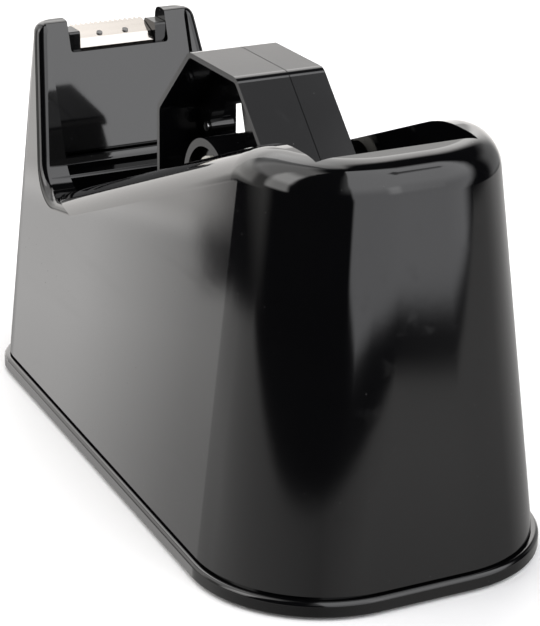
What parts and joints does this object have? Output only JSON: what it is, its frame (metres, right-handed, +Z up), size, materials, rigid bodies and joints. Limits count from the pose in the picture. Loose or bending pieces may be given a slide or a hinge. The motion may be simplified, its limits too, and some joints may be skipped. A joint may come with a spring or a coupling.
{
  "type": "tape dispenser",
  "caption": "Heavy desktop tape dispenser with a deep open well, an eight-sided drum that spins and lifts out, and a serrated cutter on a raised front tower.",
  "frame": {"origin": "middle of the footprint, on the surface the dispenser stands on", "axes": "+Z up, -Y towards the cutter, +Y towards the tall rear end, +X across the width along the drum's axis"},
  "size_m": [0.0966, 0.2042, 0.1163],
  "materials": {
    "housing_black": "high gloss",
    "base_black": "gloss",
    "carrier_black": "gloss",
    "saddle_black": "gloss",
    "drum_black": "satin",
    "bush_plastic": "smooth",
    "sleeve_plastic": "satin",
    "sheet_rubber": "matte, slightly textured",
    "cutter_steel": "bright, fine brushed",
    "rivet_steel": "darkened",
    "screw_steel": "zinc plated",
    "spindle_steel": "ground",
    "ballast_iron": "rough cast"
  },
  "bodies": {
    "root": {"body_shell": "housing_black", "base_tray": "base_black", "base_screws": "screw_steel", "anti_slip_sheet": "sheet_rubber", "ballast_plate": "ballast_iron", "ballast_screws": "screw_steel", "blade_carrier": "carrier_black", "cutter_blade": "cutter_steel", "blade_rivets": "rivet_steel", "carrier_screw": "screw_steel", "saddle_left": "saddle_black", "saddle_right": "saddle_black"},
    "spindle_set": {"spindle": "spindle_steel", "sleeve_left": "sleeve_plastic", "sleeve_right": "sleeve_plastic"},
    "drum": {"drum_left": "drum_black", "drum_right": "drum_black", "drum_screws": "screw_steel", "hub_bush_left": "bush_plastic", "hub_bush_right": "bush_plastic"}
  },
  "joints": [
    {"name": "spindle_lift", "type": "slide", "parent": "root", "child": "spindle_set", "axis": [0, 0, 1], "range_m": [0, 0.09]},
    {"name": "drum_spin", "type": "hinge", "parent": "spindle_set", "child": "drum", "pos_m": [0, 0.0031, 0.0817], "axis": [1, 0, 0], "continuous": true}
  ]
}
